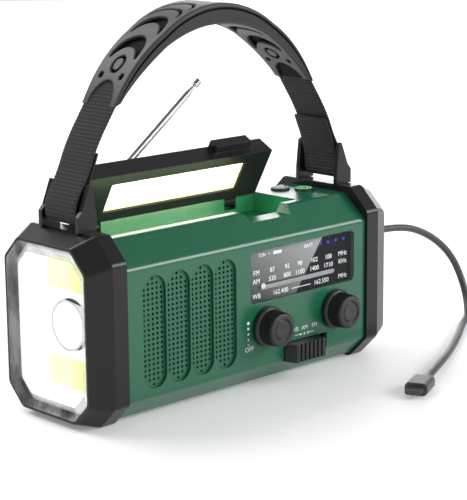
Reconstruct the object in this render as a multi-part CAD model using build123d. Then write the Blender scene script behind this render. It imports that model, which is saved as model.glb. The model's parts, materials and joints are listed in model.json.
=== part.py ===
from build123d import *
from math import radians, tan
import os

# Emergency radio with a lamp end, a lift-up lamp lid, a carrying strap and a charging cable.
# X runs along the case from the lamp end to the socket end, Y runs from the front to the back, Z is up.
# The origin is on the surface that the radio stands on, below the middle of the case. All sizes in mm.

# ---- case ----
case_half_length = 82.0
case_half_depth = 35.0
case_base = 1.5
case_top = 88.5
case_top_cut_y = 14.5
case_top_cut_z = 12.5
case_base_cut = 11.0
wall = 2.4
edge_round = 4.0
seam_gap = 0.1
case_screw_places = [(-72.8, 30.0), (-72.8, 60.0), (73.2, 30.0), (0.0, 14.0)]
screw_radius = 1.3
screw_head_radius = 2.8
screw_tip_y = -8.0
post_radius = 3.8
# ---- end bezels ----
rim_half_depth = 36.5
rim_top = 92.0
rim_cut = 12.0
rim_width = 8.5
taper_width = 11.5
end_half_depth = 30.7
end_base = 3.2
end_top = 87.1
end_cut = 10.5
bezel_wall = 3.0
seat_inset = 1.2
seat_depth = 6.0
rim_x = case_half_length + rim_width
end_x = rim_x + taper_width
# ---- lamp end ----
lens_frame = 5.7
spot_z = 45.0
spot_radius = 12.5
panel_heights = [69.0, 21.0]
panel_half_width = 16.0
panel_half_height = 7.2
# ---- front face features ----
slot_count = 4
slot_first_x = -64.4
slot_pitch = 15.3
slot_width = 14.2
slot_low = 16.2
slot_high = 71.2
grille_sunk = 1.5
grille_thick = 0.9
hole_pitch_x = 2.7
hole_pitch_z = 2.45
hole_radius = 0.7
window_left = -1.4
window_right = 73.5
window_low = 45.1
window_high = 71.9
window_corner = 3.0
knob_z = 32.4
volume_x = 9.6
tuning_x = 59.0
knob_front = 46.6
knob_skirt_radius = 10.3
knob_radius = 8.7
shaft_radius = 3.0
band_slot_left = 21.5
band_slot_right = 53.0
band_slot_low = 11.0
band_slot_high = 21.0
slider_length = 25.0
slider_proud = 7.0
band_travel = 5.0
switch_low = 12.5
pointer_left = 9.5
pointer_travel = 46.0
pointer_z = 52.6
plate_depth = 3.4
# ---- push buttons on the top face ----
button_radius = 5.0
button_places = [(73.0, 0.5), (65.0, 10.5)]
button_proud = 1.2
button_flange_top = case_top - 3.6
button_flange_base = case_top - 4.6
# ---- lamp lid and its well ----
well_left = -74.0
well_right = 50.6
well_front = -15.4
well_back = 16.7
well_floor = 78.5
lid_left = -73.2
lid_right = 49.8
lid_front = -13.0
lid_back = 15.0
lid_bottom = 81.4
lid_top = 92.1
lid_open = 61.5
hinge_y = 20.3
hinge_z = 85.1
knuckle_radius = 3.0
pin_radius = 1.0
pin_length = 12.0
knuckle_places = [-58.0, 34.0]
knuckle_half = 3.9
running_gap = 0.3
light_inset_x = 17.0
light_inset_y = 5.5
# ---- strap ----
strap_x = 88.0
strap_bar_z = 98.5
strap_bar_radius = 1.8
webbing_width = 24.0
webbing_thick = 1.6
fin_thick = 2.4
fin_inner = webbing_width / 2 + 0.6
grip_width = 28.0
# ---- antenna ----
antenna_x = -57.5
antenna_y = 31.0
antenna_z = 86.0
antenna_rise = 37.0
section_length = 88.0
section_radii = [2.2, 1.8, 1.4, 1.0]
section_wall = 0.34
swivel_base = antenna_z - 5.6
swivel_radius = 5.2
swivel_stem_radius = 2.0
# ---- crank ----
crank_z = 47.0
crank_reach = 43.5
crank_knob_radius = 5.2
fold_x = -36.5
fold_y = knob_front - crank_knob_radius
fold_pin_radius = 1.0
spindle_radius = 1.5
crank_hub_radius = 6.0
crank_half_width = 8.0
crank_inner_y = case_half_depth + 0.8
crank_outer_y = case_half_depth + 6.8
# ---- socket end ----
usb_c_z = 40.0
jack_z = 28.0
cover_low = 22.0
cover_high = 46.0
cover_x = 101.05
cover_half_width = 8.5
# ---- cable ----
cable_radius = 2.0
socket_y = 2.0
socket_z = 57.0
panel_x = 98.0
plug_end_x = 118.0
relief_length = 12.0
cable_points = [
    (130.0, 2.0, 57.0),
    (152.0, 2.0, 57.0),
    (173.0, -1.0, 50.0),
    (188.5, -6.0, 36.5),
    (194.5, -11.5, 18.0),
    (186.0, -22.5, 3.5),
    (168.0, -32.0, 2.2),
    (147.0, -46.0, 2.2),
    (122.0, -61.0, 2.2),
    (97.0, -75.0, 3.4),
    (74.0, -86.0, 3.4),
]


def block(x1, x2, y1, y2, z1, z2):
    """A box between two corners."""
    size = Box(x2 - x1, y2 - y1, z2 - z1)
    return Pos((x1 + x2) / 2, (y1 + y2) / 2, (z1 + z2) / 2) * size


def octagon(x, half_depth, low, high, cut_y, cut_z, base_cut):
    """An eight-sided section of the case at one x, with its corners rounded."""
    right = [
        (half_depth - base_cut, low),
        (half_depth, low + base_cut),
        (half_depth, high - cut_z),
        (half_depth - cut_y, high),
    ]
    left = [(-y, z) for y, z in reversed(right)]
    outline = Polygon(*(right + left), align=None)
    return Plane.YZ.offset(x) * fillet(outline.vertices(), edge_round)


def case_section(x, inset=0.0):
    """The case's section, moved in by an inset on every side."""
    corner = inset * 0.5
    return octagon(
        x,
        case_half_depth - inset,
        case_base + inset,
        case_top - inset,
        case_top_cut_y - corner,
        case_top_cut_z - corner,
        case_base_cut - corner,
    )


def rim_section(x, inset=0.0):
    """The bezel's widest section."""
    cut = rim_cut - inset * 0.5
    return octagon(x, rim_half_depth - inset, inset, rim_top - inset, cut, cut, cut)


def end_section(x, inset=0.0):
    """The bezel's section at its outer end."""
    cut = end_cut - inset * 0.5
    return octagon(x, end_half_depth - inset, end_base + inset, end_top - inset, cut, cut, cut)


def prism(section_function, x1, x2, inset=0.0):
    """A straight prism of one of the sections between two x."""
    return extrude(section_function(x1, inset), amount=x2 - x1)


def rod(start, end, radius):
    """A round bar between two points."""
    start = Vector(*start)
    end = Vector(*end)
    way = end - start
    return extrude(Plane(origin=start, z_dir=way) * Circle(radius), amount=way.length)


def pipe(start, end, radius, bore):
    """A round tube between two points."""
    return rod(start, end, radius) - rod(start, end, bore)


def slab_y(outline, y1, y2):
    """A flat outline drawn in XZ, made into a slab between two y."""
    return extrude(Plane.XZ.offset(-y1) * outline, amount=y2 - y1, dir=(0, 1, 0))


def stadium(x, low, high, width, y1, y2):
    """An upright slot with round ends, through the front face."""
    return slab_y(Pos(x, (low + high) / 2) * SlotOverall(high - low, width, rotation=90), y1, y2)


def rounded_plate(x1, x2, z1, z2, y1, y2, corner):
    """An upright plate with round corners, facing the front."""
    outline = Pos((x1 + x2) / 2, (z1 + z2) / 2) * RectangleRounded(x2 - x1, z2 - z1, corner)
    return slab_y(outline, y1, y2)


def y_disc(x, z, radius, y1, y2):
    """A round disc or hole along Y."""
    return rod((x, y1, z), (x, y2, z), radius)


def slot_centres():
    """The middle of each grille slot."""
    return [slot_first_x + i * slot_pitch for i in range(slot_count)]


# ---- case shells ----


def lid_notch():
    """The finger notch in the well's front lip, in front of the lid's tab."""
    notch_floor = 84.0
    above = case_top + 1
    outline = [(5.5, above), (39.5, above), (36.0, notch_floor), (9.5, notch_floor)]
    return slab_y(Polygon(*outline, align=None), -case_half_depth, well_front)


def lid_well_walls():
    """The well's tray and the thick lip that the finger notch is cut into, before either is hollowed."""
    tray_wall = 1.5
    tray = block(
        well_left - tray_wall, well_right + tray_wall, well_front - tray_wall, well_back + tray_wall,
        well_floor - 1.6, case_top - wall / 2,
    )
    lip = block(3.0, 42.0, -28.0, well_front, 81.8, case_top)
    return tray + (lip & prism(case_section, -case_half_length, case_half_length))


def with_hinge_pockets(shell):
    """Pockets in the well's back edge for the lid's knuckles, each with a floor and holes for its pin."""
    pocket_half = knuckle_half + 0.5
    pocket_base = hinge_z - 4.2
    floor_half = pin_length / 2 + 0.4
    for x in knuckle_places:
        pocket = block(x - pocket_half, x + pocket_half, well_back - 1, 26.0, pocket_base, case_top + 1)
        shell = shell - pocket
        shell = shell + block(x - floor_half, x + floor_half, well_back, 24.6, pocket_base - 1.8, pocket_base)
        shell = shell - rod(
            (x - pin_length / 2, hinge_y, hinge_z), (x + pin_length / 2, hinge_y, hinge_z), pin_radius
        )
    return shell


def with_front_openings(shell):
    """The grille slots, the dial window, the holes for both knob shafts and the band slot."""
    front = -case_half_depth - 1
    back = -case_half_depth + wall + 1
    for x in slot_centres():
        shell = shell - stadium(x, slot_low, slot_high, slot_width, front, back)
    window = rounded_plate(window_left, window_right, window_low, window_high, front, back, window_corner)
    shell = shell - window
    for x in (volume_x, tuning_x):
        shell = shell - y_disc(x, knob_z, shaft_radius + running_gap, front, back)
    return shell - block(band_slot_left, band_slot_right, front, back, band_slot_low, band_slot_high)


def full_case():
    """The whole green case before it is split: an open octagonal tube with its well and openings."""
    outer = prism(case_section, -case_half_length, case_half_length)
    shell = outer - prism(case_section, -case_half_length, case_half_length, wall)
    shell = shell + lid_well_walls()
    shell = shell - block(well_left, well_right, well_front, well_back, well_floor, case_top + 1)
    shell = shell - lid_notch()
    shell = with_front_openings(with_hinge_pockets(shell))
    for x, y in button_places:
        shell = shell - rod((x, y, case_top - wall - 1), (x, y, case_top + 1), button_radius + running_gap)
    hub_hole = crank_hub_radius + running_gap
    return shell - y_disc(0, crank_z, hub_hole, case_half_depth - wall - 1, case_half_depth + 1)


def inner_space():
    """The room inside the case, inside its walls."""
    return prism(case_section, -case_half_length, case_half_length, wall - 0.01)


def front_shell(case):
    """The front half of the case, with the posts that the case screws bite into."""
    shell = case & block(-200, 200, -100, -seam_gap / 2, -10, 200)
    for x, z in case_screw_places:
        post = y_disc(x, z, post_radius, -case_half_depth + wall, -seam_gap / 2)
        post = post - y_disc(x, z, screw_radius, screw_tip_y, 1.0)
        shell = shell + (post & inner_space())
    return shell


def antenna_seat():
    """A solid corner for the antenna's swivel, before its pocket is cut."""
    boss = rod((antenna_x, antenna_y, 72.0), (antenna_x, antenna_y, 100.0), 7.6)
    return boss & prism(case_section, -case_half_length, case_half_length)


def rear_shell(case):
    """The back half of the case, with screw sleeves, the antenna's seat and a saddle for the antenna."""
    shell = case & block(-200, 200, seam_gap / 2, 100, -10, 200)
    for x, z in case_screw_places:
        sleeve = y_disc(x, z, post_radius, seam_gap / 2, case_half_depth - wall)
        shell = shell + (sleeve & inner_space())
        shell = shell - y_disc(x, z, screw_radius + 0.4, -1, case_half_depth + 1)
        shell = shell - y_disc(x, z, screw_head_radius + 0.2, case_half_depth - 2.0, case_half_depth + 1)
    shell = shell + antenna_seat()
    pocket_top = 101.0
    pocket_radius = swivel_radius + 0.4
    stem_hole = swivel_stem_radius + 0.05
    mouth = (antenna_x, antenna_y, pocket_top)
    shell = shell - rod((antenna_x, antenna_y, swivel_base - 0.2), mouth, pocket_radius)
    shell = shell - rod((antenna_x, antenna_y, 73.5), mouth, stem_hole)
    saddle_x = 32.0
    saddle = block(saddle_x - 3, saddle_x + 3, antenna_y - 4.0, antenna_y + 3.6, 77.0, antenna_z)
    groove_radius = section_radii[0] + running_gap
    groove = rod((saddle_x - 4, antenna_y, antenna_z), (saddle_x + 4, antenna_y, antenna_z), groove_radius)
    return shell + (saddle - inner_space() - groove)


# ---- end bezels and the lamp ----


def bezel(side):
    """One end bezel: a rim that stands around the case, a tapered nose and a tongue inside the case."""
    tongue_thick = 1.8
    solid = prism(rim_section, case_half_length + 0.05, rim_x)
    solid = solid + loft([rim_section(rim_x), end_section(end_x)], ruled=True)
    bore = prism(case_section, case_half_length - 1, rim_x, wall + 0.2 + tongue_thick)
    nose_bore = prism(end_section, rim_x - 0.01, end_x + 1, bezel_wall)
    nose_bore = nose_bore + prism(end_section, end_x - seat_depth, end_x + 1, seat_inset)
    tongue_inset = wall + 0.2
    tongue = prism(case_section, case_half_length - 5, case_half_length + 0.05, tongue_inset)
    inner_inset = tongue_inset + tongue_thick
    tongue = tongue - prism(case_section, case_half_length - 6, case_half_length + 1, inner_inset)
    tongue = tongue - block(70.0, case_half_length + 0.04, -16.0, 16.0, 80.0, 90.0)
    ring = (solid - bore - nose_bore) + tongue
    if side > 0:
        return ring
    return mirror(ring, about=Plane.YZ)


def lamp_lens():
    """The clear front of the lamp: a flat window sunk inside a bevelled frame."""
    fit = seat_inset + 0.1
    plate = prism(end_section, -end_x, -end_x + 5.0, fit)
    mouth = end_section(-end_x - 0.01, fit + 0.4)
    floor = end_section(-end_x + 2.6, fit + lens_frame)
    return plate - loft([mouth, floor], ruled=True)


def lamp_reflector():
    """The bright tray behind the lens, open where the lamp panels and the spot sit."""
    front_x = -end_x + 5.2
    back_x = -end_x + 17.0
    fit = bezel_wall + 0.3
    outer = loft([end_section(front_x, fit), end_section(back_x, fit + 4.5)], ruled=True)
    inner = loft([end_section(front_x - 0.01, fit + 1.2), end_section(back_x - 1.2, fit + 5.7)], ruled=True)
    tray = outer - inner
    spot = rod((back_x - 3, 0, spot_z), (back_x + 1, 0, spot_z), spot_radius + 0.2)
    tray = tray - spot
    half_width = panel_half_width - 0.8
    half_height = panel_half_height - 1.0
    for z in panel_heights:
        tray = tray - block(back_x - 3, back_x + 1, -half_width, half_width, z - half_height, z + half_height)
    return tray


def lamp_panels():
    """Two flat light panels, above and below the spot."""
    front_x = -end_x + 15.7
    plates = []
    for z in panel_heights:
        low = z - panel_half_height
        high = z + panel_half_height
        plates.append(block(front_x - 1.6, front_x, -panel_half_width, panel_half_width, low, high))
    return Compound(children=plates)


def spot_cup():
    """The spot light's tapered cup."""
    cup_wall = 1.2
    depth = 13.0
    back_radius = 5.0
    mouth = Plane(origin=(-end_x + 13.0, 0, spot_z), z_dir=(1, 0, 0))
    outer = Solid.make_cone(spot_radius, back_radius, depth, plane=mouth)
    inner = Solid.make_cone(spot_radius - cup_wall, back_radius - cup_wall, depth, plane=mouth)
    return outer - inner


def spot_lens():
    """A domed lens over the spot light."""
    base_x = -end_x + 12.9
    dome_radius = 24.0
    disc = rod((base_x - 5.0, 0, spot_z), (base_x, 0, spot_z), spot_radius - 0.1)
    return disc & (Pos(base_x - 5.0 + dome_radius, 0, spot_z) * Sphere(dome_radius))


def spot_board():
    """The small board behind the spot's cup, with its light chip."""
    back_x = -end_x + 26.1
    board = rod((back_x, 0, spot_z), (back_x + 1.6, 0, spot_z), 9.0)
    return board + block(back_x - 0.9, back_x, -1.7, 1.7, spot_z - 1.7, spot_z + 1.7)


# ---- socket end ----


def socket_panel():
    """The recessed end plate with openings for the two charging sockets and the earphone socket."""
    back = panel_x - 1
    front = panel_x + 3
    plate = prism(end_section, panel_x, panel_x + 2.0, seat_inset + 0.1)
    plate = plate - block(back, front, socket_y - 7.4, socket_y + 7.4, socket_z - 3.9, socket_z + 3.9)
    plate = plate - block(back, front, socket_y - 5.4, socket_y + 5.4, usb_c_z - 2.4, usb_c_z + 2.4)
    plate = plate - rod((back, socket_y, jack_z), (front, socket_y, jack_z), 3.6)
    return plate + cover_ears()


def usb_a_socket():
    """The power-out socket: a metal shell, open outwards, with its tongue."""
    front_x = panel_x + 2.0
    y = socket_y
    z = socket_z
    shell = block(front_x - 16, front_x, y - 7.2, y + 7.2, z - 3.7, z + 3.7)
    shell = shell - block(front_x - 15, front_x + 1, y - 6.4, y + 6.4, z - 2.9, z + 2.9)
    return shell + block(front_x - 15.5, front_x - 2, y - 5.4, y + 5.4, z + 0.4, z + 2.0)


def usb_c_socket():
    """The power-in socket."""
    front_x = panel_x + 2.0
    y = socket_y
    z = usb_c_z
    shell = block(front_x - 8, front_x, y - 5.2, y + 5.2, z - 2.2, z + 2.2)
    shell = shell - block(front_x - 7, front_x + 1, y - 4.5, y + 4.5, z - 1.5, z + 1.5)
    return shell + block(front_x - 7.5, front_x - 1.5, y - 3.4, y + 3.4, z - 0.35, z + 0.35)


def jack_socket():
    """The earphone socket."""
    front_x = panel_x + 2.0
    return pipe((front_x - 12, socket_y, jack_z), (front_x, socket_y, jack_z), 3.4, 1.75)


def socket_cover():
    """The rubber flap over two of the sockets, with a roll and two trunnions at its lower edge."""
    y1 = socket_y - cover_half_width
    y2 = socket_y + cover_half_width
    flap = block(cover_x - 0.6, cover_x + 0.85, y1, y2, cover_low + 0.4, cover_high)
    roll = rod((cover_x, y1, cover_low), (cover_x, y2, cover_low), 0.9)
    return flap + roll + rod((cover_x, y1 - 1.4, cover_low), (cover_x, y2 + 1.4, cover_low), 0.5)


def cover_ears():
    """Two ears on the panel that carry the flap's trunnions."""
    ears = []
    for y in (socket_y - cover_half_width - 1.8, socket_y + cover_half_width + 0.3):
        ear = block(panel_x + 1.9, cover_x + 0.9, y, y + 1.5, cover_low - 1.4, cover_low + 1.4)
        ears.append(ear - rod((cover_x, y - 1, cover_low), (cover_x, y + 3, cover_low), 0.56))
    return ears[0] + ears[1]


# ---- front face parts ----


def hole_grid():
    """Hole places on one grille: five columns, the middle ones reaching further into the round ends."""
    middle = (slot_low + slot_high) / 2
    places = []
    for column in range(-2, 3):
        rows = 22 - 2 * abs(column)
        for row in range(rows):
            places.append((column * hole_pitch_x, middle + (row - (rows - 1) / 2) * hole_pitch_z))
    return places


def speaker_grille():
    """Four perforated plates, sunk in the front face's slots."""
    front = -case_half_depth + grille_sunk
    plates = []
    for x in slot_centres():
        middle = (slot_low + slot_high) / 2
        outline = Pos(x, middle) * SlotOverall(slot_high - slot_low - 0.04, slot_width - 0.04, rotation=90)
        holes = [Pos(x + dx, z) * Circle(hole_radius) for dx, z in hole_grid()]
        plates.append(slab_y(outline - Sketch(children=holes), front, front + grille_thick))
    return Compound(children=plates)


def speaker_driver():
    """The loudspeaker behind the grille: basket, cone and magnet."""
    x = slot_first_x + 1.5 * slot_pitch
    z = 44.0
    face = -case_half_depth + wall + 0.4
    ring = y_disc(x, z, 26.0, face, face + 3.0) - y_disc(x, z, 22.5, face - 1, face + 4)
    basket = Solid.make_cone(26.0, 11.0, 11.0, plane=Plane(origin=(x, face + 3.0, z), z_dir=(0, 1, 0)))
    hollow = Solid.make_cone(22.5, 8.0, 9.5, plane=Plane(origin=(x, face + 2.99, z), z_dir=(0, 1, 0)))
    magnet = y_disc(x, z, 13.0, face + 14.0, face + 20.0)
    return ring + (basket - hollow) + magnet


def dial_window():
    """The clear dial window, flush with the front face."""
    front = -case_half_depth
    fit = 0.1
    return rounded_plate(
        window_left + fit, window_right - fit, window_low + fit, window_high - fit,
        front - 0.1, front + 1.4, window_corner - fit,
    )


def dial_plate():
    """The printed plate behind the dial window, with the pointer's slot through it."""
    face = -case_half_depth + plate_depth
    lap = 2.0
    low = window_low - lap
    high = window_high + lap
    plate = block(window_left - lap, window_right + lap, face, face + 1.2, low, high)
    slot_end = pointer_left + pointer_travel + 2.0
    return plate - block(pointer_left - 2.0, slot_end, face - 1, face + 2, pointer_z - 0.7, pointer_z + 0.7)


def dial_pointer():
    """The tuning pointer: a round head in front of the plate on a stem through its slot."""
    face = -case_half_depth + plate_depth
    head = y_disc(pointer_left, pointer_z, 1.5, face - 1.1, face - 0.3)
    left = pointer_left - 0.8
    right = pointer_left + 0.8
    stem = block(left, right, face - 0.4, face + 4.0, pointer_z - 0.45, pointer_z + 0.45)
    return head + stem


def knob(x):
    """A stepped round knob with a dimple in its face and a stub for its shaft."""
    back = -case_half_depth - 0.4
    profile = [
        (0, back), (knob_skirt_radius - 0.6, back), (knob_skirt_radius, back - 0.6),
        (knob_skirt_radius, back - 2.0), (knob_skirt_radius - 0.7, back - 2.6),
        (knob_radius + 0.3, back - 3.2), (knob_radius, -knob_front + 0.8),
        (knob_radius - 0.8, -knob_front), (5.6, -knob_front), (5.2, -knob_front + 0.4),
        (0, -knob_front + 0.7),
    ]
    flat = Plane.XY * Polygon(*profile, align=None)
    turned = Pos(x, 0, knob_z) * revolve(flat, axis=Axis.Y)
    return turned - y_disc(x, knob_z, shaft_radius, -knob_front + 4.0, back + 1)


def knob_shaft(x):
    """The shaft that a knob is pressed on."""
    return y_disc(x, knob_z, shaft_radius, -knob_front + 4.0, -case_half_depth + 8.0)


def volume_control():
    """The volume control behind the left knob, with a clearance hole for the shaft."""
    front = -case_half_depth + wall + 0.4
    body = y_disc(volume_x, knob_z, 8.0, front, front + 9.0)
    return body - y_disc(volume_x, knob_z, shaft_radius + 0.05, front - 1, -case_half_depth + 8.3)


def tuning_capacitor():
    """The tuning capacitor behind the right knob."""
    front = -case_half_depth + wall + 0.4
    body = block(tuning_x - 10, tuning_x + 10, front, front + 11.0, knob_z - 10, knob_z + 10)
    return body - y_disc(tuning_x, knob_z, shaft_radius + 0.05, front - 1, -case_half_depth + 8.3)


def band_slider():
    """The ribbed band slider, from its ribbed cap back through the slot to its foot."""
    left = band_slot_left + 0.5
    low = band_slot_low + 0.3
    high = band_slot_high - 0.3
    face = -case_half_depth
    side = [
        (left, face), (left + 2.2, face - slider_proud), (left + slider_length - 2.2, face - slider_proud),
        (left + slider_length, face), (left + slider_length, face + 3.2), (left, face + 3.2),
    ]
    body = extrude(Plane.XY.offset(low) * Polygon(*side, align=None), amount=high - low)
    for i in range(6):
        x = left + 5.0 + i * 3.0
        cap_y = face - slider_proud
        body = body - block(x - 0.7, x + 0.7, cap_y - 1, cap_y + 0.9, low - 1, high + 1)
    foot = block(left + 8, left + 17, face + 3.1, face + 7.0, low + 3, high - 3)
    return body + foot


def band_switch():
    """The fixed switch behind the band slider, with a channel for the slider's foot."""
    face = -case_half_depth
    body = block(band_slot_left + 1, band_slot_right - 1, face + 3.6, face + 12.0, switch_low, band_slot_high)
    left = band_slot_left + 0.5
    channel = block(left + 7.5, left + 17.5 + band_travel, face + 3, face + 7.4, 14.0, 18.0)
    return body - channel


def button(place):
    """A round push button on the top face, with a retaining flange inside."""
    x, y = place
    cap = rod((x, y, button_flange_base), (x, y, case_top + button_proud), button_radius)
    cap = fillet(cap.edges().sort_by(Axis.Z)[-1], 0.6)
    return cap + rod((x, y, button_flange_base), (x, y, button_flange_top), button_radius + 1.0)


def button_board():
    """The small board under the push buttons, with a dome switch below each."""
    board = block(57.0, 80.0, -7.0, 18.0, case_top - 9.0, case_top - 7.6)
    for x, y in button_places:
        board = board + rod((x, y, case_top - 7.7), (x, y, case_top - 5.9), 2.4)
    return board


# ---- lamp lid ----


def light_room(inset, z1, z2):
    """A block that fills the lid's lamp opening between two heights, less an inset at its sides."""
    x = light_inset_x + inset
    y = light_inset_y + inset
    return block(lid_left + x, lid_right - x, lid_front + y, lid_back - y, z1, z2)


def lid_frame():
    """The lid's frame, closed: a slab with a sunk lamp opening, a cell tray, two knuckles and the tab."""
    slab = block(lid_left, lid_right, lid_front, lid_back, lid_bottom, lid_top)
    light = light_room(0.0, lid_bottom - 1, lid_bottom + 5.0)
    cell_tray = block(lid_left + 4, lid_right - 4, lid_front + 3, lid_back - 3, lid_top - 1.6, lid_top + 1)
    slab = slab - light - cell_tray
    tab = block(12.5, 37.0, lid_front - 4.2, lid_front + 0.1, lid_bottom + 4.5, lid_top - 0.4)
    slab = slab + tab
    for x in knuckle_places:
        left = x - knuckle_half
        right = x + knuckle_half
        slab = slab + block(left, right, lid_back - 0.1, hinge_y, hinge_z - 2.0, hinge_z + knuckle_radius)
        slab = slab + rod((left, hinge_y, hinge_z), (right, hinge_y, hinge_z), knuckle_radius)
    for x in knuckle_places:
        slab = slab - rod((x - 5, hinge_y, hinge_z), (x + 5, hinge_y, hinge_z), pin_radius + 0.05)
    return slab


def lid_diffuser():
    """The lamp's white diffuser, sunk in the lid's underside."""
    return light_room(0.1, lid_bottom + 1.2, lid_bottom + 3.0)


def lid_light_board():
    """The light board between the diffuser and the lid's floor."""
    return light_room(1.0, lid_bottom + 3.6, lid_bottom + 5.0)


def solar_panel():
    """The solar panel on the lid's upper side."""
    left = lid_left + 4.1
    right = lid_right - 4.1
    return block(left, right, lid_front + 3.1, lid_back - 3.1, lid_top - 1.6, lid_top - 0.1)


def hinge_pins():
    """The two short pins that the lid turns on, held in the case."""
    pins = []
    for x in knuckle_places:
        start = (x - pin_length / 2, hinge_y, hinge_z)
        end = (x + pin_length / 2, hinge_y, hinge_z)
        pins.append(rod(start, end, pin_radius))
    return Compound(children=pins)


def opened(shape):
    """Turn a closed lid part up to the angle that the lid stands at."""
    axis = Axis((0, hinge_y, hinge_z), (1, 0, 0))
    return shape.rotate(axis, -lid_open)


# ---- strap and grip ----


def strap_loop(side):
    """A strap anchor on one bezel: two upright fins with a cross bar between them and a foot under each."""
    x = side * strap_x
    top = rim_top
    fins = []
    for y in (-fin_inner - fin_thick, fin_inner):
        outline = [
            (x + side * 4.6, top), (x + side * 4.6, strap_bar_z + 1.0), (x + side * 2.2, strap_bar_z + 3.6),
            (x - side * 2.6, 114.0), (x - side * 4.6, 113.0), (x - side * 6.4, 98.0), (x - side * 6.4, top),
        ]
        fins.append(slab_y(Polygon(*outline, align=None), y, y + fin_thick))
    bar = rod((x, -fin_inner - 1, strap_bar_z), (x, fin_inner + 1, strap_bar_z), strap_bar_radius)
    return fins[0] + fins[1] + bar


def webbing(side):
    """One strap end: flat webbing that goes round its bar and is stitched back on itself."""
    r = strap_bar_radius + 0.2 + webbing_thick / 2
    x = strap_x
    z = strap_bar_z
    points = [
        (x - 10.8, 127.0), (x - 6.6, 117.0), (x - r, z + 8.0), (x - r, z - r), (x + r, z - r),
        (x + r, z + 8.0), (x - 4.4, 116.5), (x - 10.0, 130.0), (x - 20.0, 147.0), (x - 25.0, 156.0),
    ]
    corners = [6.0, 6.0, r - 0.01, r - 0.01, 6.0, 12.0, 20.0, 20.0]
    line = FilletPolyline(*[(side * px, pz) for px, pz in points], radius=corners)
    return slab_y(trace(line, webbing_thick), -webbing_width / 2, webbing_width / 2)


def grip():
    """The moulded grip: an arch, thick at its middle and thin at both ends."""
    outer = [(-67.0, 148.0), (-52.2, 168.3), (-36.5, 180.3), (0.0, 192.2)]
    inner = [(62.6, 149.6), (50.0, 161.8), (34.0, 173.6), (0.0, 181.9)]
    mirror_outer = [(-x, z) for x, z in outer]
    mirror_inner = [(-x, z) for x, z in inner]
    edges = [
        ThreePointArc(outer[0], outer[1], outer[2]),
        ThreePointArc(outer[2], outer[3], mirror_outer[2]),
        ThreePointArc(mirror_outer[2], mirror_outer[1], mirror_outer[0]),
        Line(mirror_outer[0], inner[0]),
        ThreePointArc(inner[0], inner[1], inner[2]),
        ThreePointArc(inner[2], inner[3], mirror_inner[2]),
        ThreePointArc(mirror_inner[2], mirror_inner[1], mirror_inner[0]),
        Line(mirror_inner[0], outer[0]),
    ]
    return slab_y(make_face(edges), -grip_width / 2, grip_width / 2)


# ---- antenna, built folded along X and then raised ----


def raised(shape):
    """Lift a folded antenna part to the angle that the antenna stands at."""
    axis = Axis((antenna_x, antenna_y, antenna_z), (0, 1, 0))
    return shape.rotate(axis, -antenna_rise)


def antenna_swivel():
    """The turning fork that the antenna tilts in."""
    top = antenna_z - 3.1
    fork = rod((antenna_x, antenna_y, swivel_base), (antenna_x, antenna_y, top), swivel_radius)
    fork = fork + rod((antenna_x, antenna_y, 74.5), (antenna_x, antenna_y, top), swivel_stem_radius)
    for y in (antenna_y - 3.7, antenna_y + 2.1):
        cheek = block(antenna_x - 2.6, antenna_x + 2.6, y, y + 1.6, top - 0.5, antenna_z)
        cheek = cheek + y_disc(antenna_x, antenna_z, 2.6, y, y + 1.6)
        fork = fork + cheek
    return fork - y_disc(antenna_x, antenna_z, 0.85, antenna_y - 5, antenna_y + 5)


def antenna_pin():
    """The pin that the antenna tilts on."""
    return y_disc(antenna_x, antenna_z, 0.8, antenna_y - 3.7, antenna_y + 3.7)


def antenna_section(number):
    """One tube of the telescopic rod; the last one is solid."""
    radius = section_radii[number]
    start = antenna_x + 5.6 + 3.0 * number
    end = antenna_x + 6.0 + section_length + 2.0 * number
    tube = rod((start, antenna_y, antenna_z), (end, antenna_y, antenna_z), radius)
    if number < len(section_radii) - 1:
        bore = radius - section_wall
        tube = tube - rod((start + 1.0, antenna_y, antenna_z), (end + 1, antenna_y, antenna_z), bore)
    if number == 0:
        eye_y1 = antenna_y - 1.8
        eye_y2 = antenna_y + 1.8
        eye = y_disc(antenna_x, antenna_z, 2.7, eye_y1, eye_y2)
        neck = block(antenna_x, start + 0.5, eye_y1, eye_y2, antenna_z - 1.5, antenna_z + 1.5)
        tube = tube + eye + neck - y_disc(antenna_x, antenna_z, 0.85, antenna_y - 3, antenna_y + 3)
    return raised(tube)


def antenna_tip():
    """The cap on the end of the thinnest tube."""
    start = antenna_x + 6.0 + section_length + 2.0 * (len(section_radii) - 1)
    cap = rod((start, antenna_y, antenna_z), (start + 4.0, antenna_y, antenna_z), 2.3)
    cap = fillet(cap.edges(), 0.7)
    return raised(cap)


# ---- crank ----


def crank_arm():
    """The crank's arm with its hub, and a slot that the folded knob lies in."""
    y1 = crank_inner_y
    y2 = crank_outer_y
    half = crank_half_width
    tip_x = -crank_reach + half
    slot_half = crank_knob_radius + 0.4
    arm = block(tip_x, 0, y1, y2, crank_z - half, crank_z + half)
    arm = arm + y_disc(0, crank_z, 9.5, y1, y2)
    arm = arm + y_disc(tip_x, crank_z, half, y1, y2)
    arm = arm + y_disc(0, crank_z, crank_hub_radius, case_half_depth - 6.0, y1 + 0.1)
    arm = arm - block(fold_x - 3.5, -10.8, y1 - 1, y2 + 1, crank_z - slot_half, crank_z + slot_half)
    pin_end = half + 0.5
    arm = arm - rod((fold_x, fold_y, crank_z - pin_end), (fold_x, fold_y, crank_z + pin_end), fold_pin_radius)
    return arm - y_disc(0, crank_z, screw_radius, y1 - 5, y2 + 1) - y_disc(0, crank_z, 3.2, y2 - 2, y2 + 1)


def crank_screw():
    """The screw that holds the crank on the dynamo's shaft."""
    shank = y_disc(0, crank_z, screw_radius, crank_outer_y - 11.0, crank_outer_y - 1.9)
    return shank + y_disc(0, crank_z, 3.1, crank_outer_y - 2.0, crank_outer_y - 0.3)


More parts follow.
